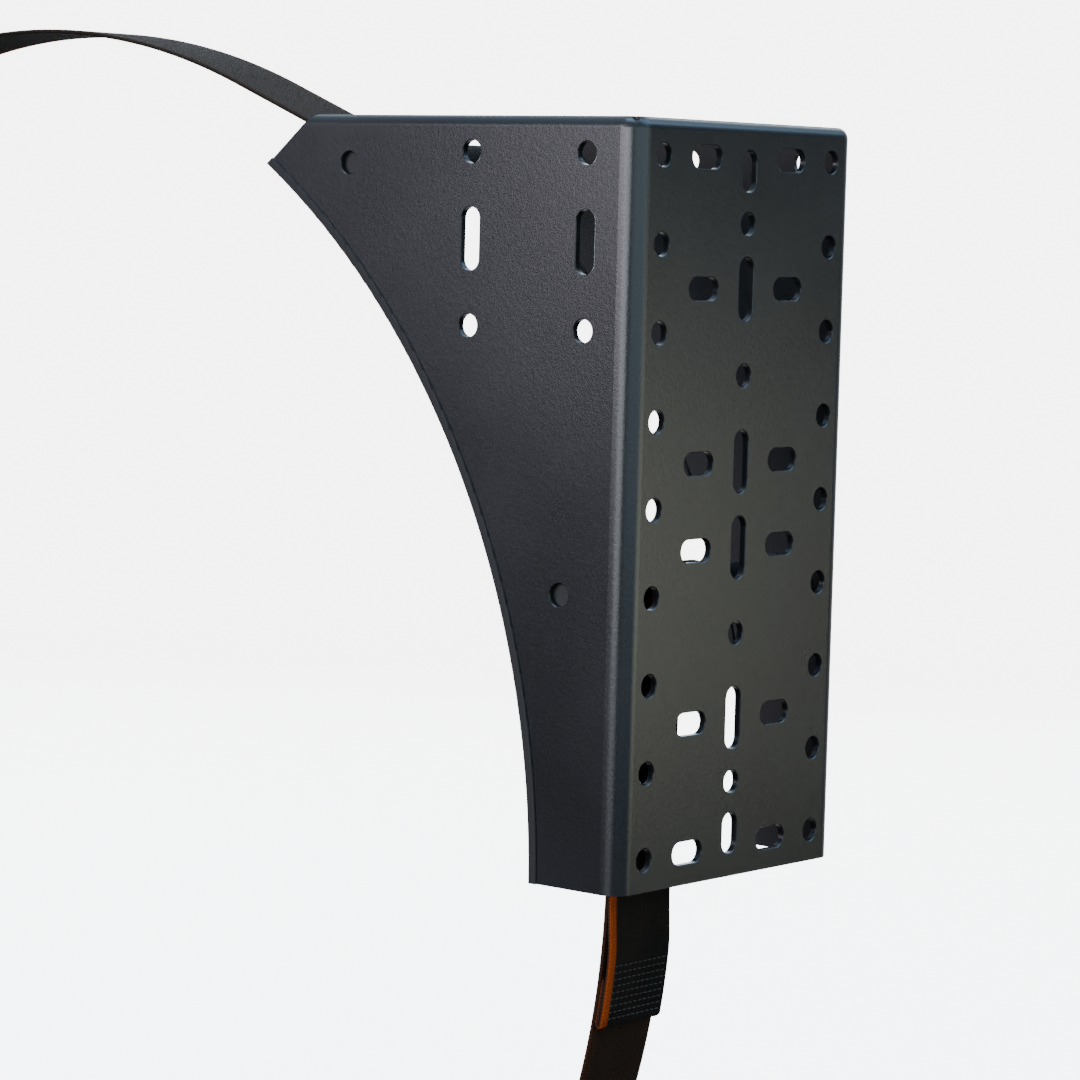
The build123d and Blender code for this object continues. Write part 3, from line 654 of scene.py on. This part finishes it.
# the loose end of the lower strap is turned under once, which lifts it by a layer at the hem;
# HEM_ANGLE and HEM_REST are angles about the tyre
HEM_ANGLE = -10.3
HEM_TILT = 0.13
HEM_FOLD = 0.022
HEM_EASE = 0.030
HEM_REST = 1.0
HEM_LIFT = 0.92
EASE_POINTS = 12
layer_r = STRAP_R + LAYER_STEP
hem_r = layer_r + LAYER_STEP * HEM_LIFT
half_rise = (hem_r - layer_r) / 2
fold_end = HEM_ANGLE + degrees(HEM_FOLD / layer_r)
ease_start = fold_end + HEM_REST
ease_sweep = degrees(HEM_EASE / layer_r)
hem_turn = [polar((layer_r + hem_r) / 2 + half_rise * sin(radians(a)),
                  HEM_ANGLE - degrees(half_rise / layer_r) * cos(radians(a)))
            for a in range(-80, 90, 20)]
ease = [polar(hem_r + (layer_r - hem_r) * (0.5 - 0.5 * cos(pi * k / EASE_POINTS)),
              ease_start + ease_sweep * k / EASE_POINTS) for k in range(EASE_POINTS + 1)]
hem_route = arc(TYRE_CENTRE, layer_r, fold_end, HEM_ANGLE) + hem_turn
sewn_route = (hem_route + arc(TYRE_CENTRE, hem_r, HEM_ANGLE, ease_start) + ease
              + arc(TYRE_CENTRE, layer_r, ease_start + ease_sweep, lower_eye.normal)
              + [lower_eye.place(*lower_eye.merge)])
lower_route = (sewn_route + lower_eye.route(lower_eye.run)[2:]
               + [lower_eye.on_bar, lower_eye.on_tyre]
               + arc(TYRE_CENTRE, STRAP_R, lower_eye.normal, anchor_eye.normal - 360)
               + [anchor_eye.on_bar] + anchor_eye.route(ANCHOR_FOLD)[::-1])

upper_path = webbing_piece("upper_strap_webbing", upper_route, "carrier", striped_left=True,
                           replaces=("upper_strap",), stripe_edge=-1)
lower_path = webbing_piece("lower_strap_webbing", lower_route, "carrier", striped_left=False,
                           replaces=("lower_strap",), tilt=HEM_TILT)

# the turns on the spool: through its slit, then outward to the coil's radius
SPOOL_R = 0.009
SPOOL_GAP = 0.0001
TURN_STEP = WEB_T + 0.00005
SLIT_TOP = 0.95
SPIRAL_START = -76
SPIRAL_POINTS = 160
inner_r = SPOOL_R + SPOOL_GAP + WEB_T / 2
outer_r = coil_r - WEB_T / 2
turns = (outer_r - inner_r) / TURN_STEP
slit = [(spool_centre[0], spool_centre[1] + SPOOL_R * SLIT_TOP),
        (spool_centre[0], spool_centre[1] - SPOOL_R)]
spiral = [polar(inner_r + (outer_r - inner_r) * share, SPIRAL_START + 360 * turns * share,
                spool_centre)
          for share in (k / SPIRAL_POINTS for k in range(SPIRAL_POINTS + 1))]
webbing_piece("wound_webbing_turns", slit + spiral, "spool", striped_left=False,
              replaces=("wound_webbing",))

# ------------------------------------------------------------------ stitching
STITCH_L = 0.0027
STITCH_PITCH = 0.0034
STITCH_R = 0.00036
STITCH_SIDES = 6
STITCH_LEAN = Vector((0.3, 0.2, 0.9))
# (share of the stitch's length, share of its radius)
STITCH_RINGS = ((0.0, 0.35), (0.22, 1.0), (0.78, 1.0), (1.0, 0.35))
SEWN_HALF_W = 0.0165
HEM_HALF_W = 0.019
HEM_ROWS = 9
HEM_ROW_START = 0.003
HEM_ROW_PITCH = 0.0031
FACE_DEPTH = WEB_T / 2 + STITCH_R * 0.3
# where each sewn box starts and ends: before the lower eye's merge, from the two ends of
# the upper fold, and before the anchor fold's end
EYE_BOX = (0.050, 0.006)
FOLD_BOX = (0.004, 0.002)
ANCHOR_BOX = (0.036, 0.004)
BOTH_FACES = (FACE_DEPTH, -FACE_DEPTH - LAYER_STEP)
stitches = []


def stitch_row(path, sign, start, end, depths):
    """Stitches on a straight row between two (along, across) points, at each depth."""
    length = hypot(end[0] - start[0], end[1] - start[1])
    count = max(1, round(length / STITCH_PITCH))
    half = STITCH_L / 2 / length
    for k in range(count):
        middle = (k + 0.5) / count
        ends = [between(start, end, t) for t in (middle - half, middle + half)]
        for depth in depths:
            stitch = []
            for along, across in ends:
                (x, z), (nx, nz) = path.pose(along)
                lift = sign * depth
                stitch.append(Vector((x + nx * lift, STRAP_Y + across, z + nz * lift)))
            stitches.append(stitch)


def sewn_box(path, sign, start, end):
    """A sewn box with a cross in it, between two lengths along a strap."""
    corner_a, corner_b = (start, -SEWN_HALF_W), (end, -SEWN_HALF_W)
    corner_c, corner_d = (start, SEWN_HALF_W), (end, SEWN_HALF_W)
    for row in ((corner_a, corner_b), (corner_c, corner_d), (corner_a, corner_c),
                (corner_b, corner_d), (corner_a, corner_d), (corner_c, corner_b)):
        stitch_row(path, sign, *row, BOTH_FACES)


hem_s = Path(hem_route).length
for k in range(HEM_ROWS):
    row_s = hem_s + HEM_ROW_START + HEM_ROW_PITCH * k
    stitch_row(lower_path, -1, (row_s, -HEM_HALF_W), (row_s, HEM_HALF_W), (FACE_DEPTH,))
merge_s = Path(sewn_route).length
sewn_box(lower_path, -1, merge_s - EYE_BOX[0], merge_s - EYE_BOX[1])
sewn_box(upper_path, 1, FOLD_BOX[0], UPPER_FOLD - EYE_MERGE - FOLD_BOX[1])
sewn_box(lower_path, -1, lower_path.length - ANCHOR_BOX[0], lower_path.length - ANCHOR_BOX[1])

points, faces = [], []
for first, last in stitches:
    way = (last - first).normalized()
    side = way.cross(STITCH_LEAN).normalized()
    other = way.cross(side)
    faces += tube_faces(len(points), len(STITCH_RINGS), STITCH_SIDES)
    for share, size in STITCH_RINGS:
        middle = first.lerp(last, share)
        for k in range(STITCH_SIDES):
            a = 2 * pi * k / STITCH_SIDES
            points.append(middle + (side * cos(a) + other * sin(a)) * STITCH_R * size)
mesh_piece("strap_stitching", points, faces, "thread", "carrier")


# ------------------------------------------------------------------ grip and weld beads
def lathe(centre, profile, steps, shape):
    """Closed ring about an axis along Y.

    profile is (y, radius) points, and shape(angle, y, radius) the radius at each of them.
    """
    points, faces = [], []
    size = len(profile)
    for j in range(steps):
        a = 2 * pi * j / steps
        after = (j + 1) % steps
        for k, (y, radius) in enumerate(profile):
            r = shape(a, y, radius)
            points.append((centre[0] + r * cos(a), y, centre[1] + r * sin(a)))
            beside = (k + 1) % size
            faces.append((j * size + k, j * size + beside, after * size + beside,
                          after * size + k))
    return points, faces


GRIP_BORE = 0.00302
GRIP_STATIONS = 90
GRIP_STEPS = 144
SHOULDER_R = 0.0016
COLLAR_STEP = 0.0003
COLLAR_START = 0.92
RIBBED_SPAN = 0.9
RING_DEPTH = 0.00045
RING_WAVES = 13
FLUTES = 18
FLUTE_DEPTH = 0.0005
grip_centre, grip_r = bar("handle_grip")
grip_low, grip_high = (corner.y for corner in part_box("handle_grip"))
grip_mid, grip_half = (grip_low + grip_high) / 2, (grip_high - grip_low) / 2
profile = [(grip_low, GRIP_BORE)]
for k in range(GRIP_STATIONS + 1):
    t = -1 + 2 * k / GRIP_STATIONS
    shoulder = min(1.0, (1 - abs(t)) * grip_half / SHOULDER_R)
    radius = grip_r - SHOULDER_R * (1 - (1 - (1 - shoulder) ** 2) ** 0.5)
    if abs(t) < COLLAR_START:
        radius -= COLLAR_STEP
    if abs(t) < RIBBED_SPAN:
        radius -= RING_DEPTH * (0.5 + 0.5 * cos(t * pi * RING_WAVES))
    profile.append((grip_mid + t * grip_half, radius))
profile.append((grip_high, GRIP_BORE))


def fluted(angle, y, radius):
    """Shallow flutes along the grip, except in its bore and on its end collars."""
    if radius < GRIP_BORE * 1.2 or abs(y - grip_mid) > grip_half * RIBBED_SPAN:
        return radius
    return radius - FLUTE_DEPTH * max(0.0, cos(FLUTES * angle)) ** 2


grip = mesh_piece("ribbed_grip", *lathe(grip_centre, profile, GRIP_STEPS, fluted),
                  "grip_plastic", "handle")
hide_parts("handle_grip")

WELD_LEG = 0.0025
WELD_BULGE = 1.4
WELD_POINTS = 8
WELD_STEPS = 204
WELD_SINK = 0.0003
RIPPLES = 17
RIPPLE_HEIGHT = 0.18
RIPPLE_SINK = 0.12


def weld_bead(centre, bar_r, end, sign):
    """Points and faces of a rippled fillet round a bar, where it meets a side plate."""
    profile = [(end, bar_r - WELD_SINK)]
    for k in range(WELD_POINTS + 1):
        a = pi / 2 * k / WELD_POINTS
        profile.append((end - sign * WELD_LEG * sin(a) ** WELD_BULGE,
                        bar_r + WELD_LEG * cos(a) ** WELD_BULGE))
    profile.append((end - sign * WELD_LEG, bar_r - WELD_SINK))

    def rippled(angle, y, radius):
        wave = abs(sin(RIPPLES * angle + 0.5 * sin(3 * angle)))
        return radius + max(0.0, radius - bar_r) * (RIPPLE_HEIGHT * wave - RIPPLE_SINK)

    return lathe(centre, profile, WELD_STEPS, rippled)


points, faces = [], []
for bar_name in ("upper_cross_bar", "lower_cross_bar"):
    bar_centre, bar_r = bar(bar_name)
    for corner, sign in zip(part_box(bar_name), (-1, 1)):
        bead_points, bead_faces = weld_bead(bar_centre, bar_r, corner.y, sign)
        base = len(points)
        points += bead_points
        faces += [tuple(base + i for i in face[::-sign]) for face in bead_faces]
weld = mesh_piece("weld_beads", points, faces, "powder_coat", "carrier")
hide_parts("cross_bar_welds")

# ------------------------------------------------------------------ pawl springs
SPRING_WIRE = 0.0010
CLOSED_PITCH = SPRING_WIRE * 1.04
CLOSED_TURNS = 1.0
OPEN_TURNS = 4.0
TURN_POINTS = 40
WIRE_SIDES = 12


def spring_piece(name, node_name):
    """Compression spring with closed end coils.

    It spans the spring node's box and rides on no body.
    """
    low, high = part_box(node_name)
    radius = (high.y - low.y - SPRING_WIRE) / 2
    axis_x, axis_y = (low.x + high.x) / 2, (low.y + high.y) / 2
    bottom, top = low.z + SPRING_WIRE / 2, high.z - SPRING_WIRE / 2
    closed_rise = CLOSED_PITCH * CLOSED_TURNS
    open_rise = top - bottom - 2 * closed_rise
    total = 2 * CLOSED_TURNS + OPEN_TURNS
    steps = int(total * TURN_POINTS)
    middles = []
    for k in range(steps + 1):
        turn = total * k / steps
        if turn < CLOSED_TURNS:
            z = bottom + closed_rise * turn / CLOSED_TURNS
        elif turn > total - CLOSED_TURNS:
            z = top - closed_rise * (total - turn) / CLOSED_TURNS
        else:
            z = bottom + closed_rise + open_rise * (turn - CLOSED_TURNS) / OPEN_TURNS
        a = 2 * pi * turn
        middles.append(Vector((axis_x + radius * cos(a), axis_y + radius * sin(a), z)))
    points = []
    for k, middle in enumerate(middles):
        way = (middles[min(k + 1, steps)] - middles[max(k - 1, 0)]).normalized()
        out = Vector((middle.x - axis_x, middle.y - axis_y, 0.0)).normalized()
        up = way.cross(out).normalized()
        for j in range(WIRE_SIDES):
            a = 2 * pi * j / WIRE_SIDES
            points.append(middle + (out * cos(a) + up * sin(a)) * SPRING_WIRE / 2)
    faces = tube_faces(0, steps + 1, WIRE_SIDES)
    spring = mesh_piece(name, points, faces, "spring_steel")
    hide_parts(node_name)
    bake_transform(spring)


spring_piece("lock_pawl_coil", "lock_pawl_spring")
spring_piece("drive_pawl_coil", "drive_pawl_spring")

# ------------------------------------------------------------------ floor
# a pale disc that glows to the camera, fades out towards its rim and casts no light
FLOOR_GAP = 0.0005
FLOOR_Z = cad_box[0][2] - FLOOR_GAP
FLOOR_R = 7.0
FLOOR_FADE = (1.0, 5.0)
FLOOR_GLOW = 5.0
RIM_POINTS = 96
rim_angles = [2 * pi * k / RIM_POINTS for k in range(RIM_POINTS)]
floor_data = bpy.data.meshes.new("floor")
floor_data.from_pydata([(FLOOR_R * cos(a), FLOOR_R * sin(a), FLOOR_Z) for a in rim_angles],
                       [], [tuple(range(RIM_POINTS))])
floor = add_object("floor", floor_data)
floor.visible_glossy = False
floor.visible_diffuse = False
floor.visible_shadow = False

paper, paper_tree, paper_shader, paper_where = material("floor_paper")
connect(paper_tree, paper_shader,
        colour=mix_colour(paper_tree, noise(paper_tree, paper_where, scale=3.0),
                          linear(240, 240, 240), linear(246, 246, 245)))
paper_shader.inputs["Roughness"].default_value = 0.9
paper_shader.inputs["Emission Color"].default_value = (1.0, 1.0, 1.0, 1.0)
paper_shader.inputs["Emission Strength"].default_value = FLOOR_GLOW
away = vector_node(paper_tree, "LENGTH", paper_where).outputs["Value"]
fade = node(paper_tree, "ShaderNodeMapRange", {0: away, 1: FLOOR_FADE[0], 2: FLOOR_FADE[1]},
            interpolation_type="SMOOTHSTEP").outputs[0]
clear = node(paper_tree, "ShaderNodeBsdfTransparent").outputs[0]
faded = node(paper_tree, "ShaderNodeMixShader",
             {0: fade, 1: paper_shader.outputs[0], 2: clear}).outputs[0]
paper_tree.links.new(faded, paper_tree.nodes["Material Output"].inputs["Surface"])
floor_data.materials.append(paper)

# ------------------------------------------------------------------ world
# the backdrop is white to the camera; the object is lit by a studio that is brighter overhead
# and on the side behind it
BACKDROP = 6.0
BEHIND = (-0.62, 0.78, 0.0)
world = bpy.data.worlds.new("studio")
bpy.context.scene.world = world
world.use_nodes = True
sky = world.node_tree
direction = node(sky, "ShaderNodeTexCoord").outputs["Generated"]
sky_z = node(sky, "ShaderNodeSeparateXYZ", {0: direction}).outputs["Z"]
overhead = ramp(sky, scaled(sky, sky_z, times=0.5, plus=0.5),
                (0.44, 0.0), (0.60, 0.24), (0.85, 1.0))
glow = mix_colour(sky, overhead, (0.022, 0.023, 0.024), (0.50, 0.68, 0.90))
facing = vector_node(sky, "DOT_PRODUCT", direction, BEHIND).outputs["Value"]
glow = mix_colour(sky, ramp(sky, facing, (0.45, 0.0), (0.85, 1.0)), glow, (0.80, 0.82, 0.84))
seen = node(sky, "ShaderNodeLightPath").outputs["Is Camera Ray"]
shown = mix_colour(sky, seen, glow, (BACKDROP, BACKDROP, BACKDROP))
sky.links.new(shown, sky.nodes["Background"].inputs["Color"])
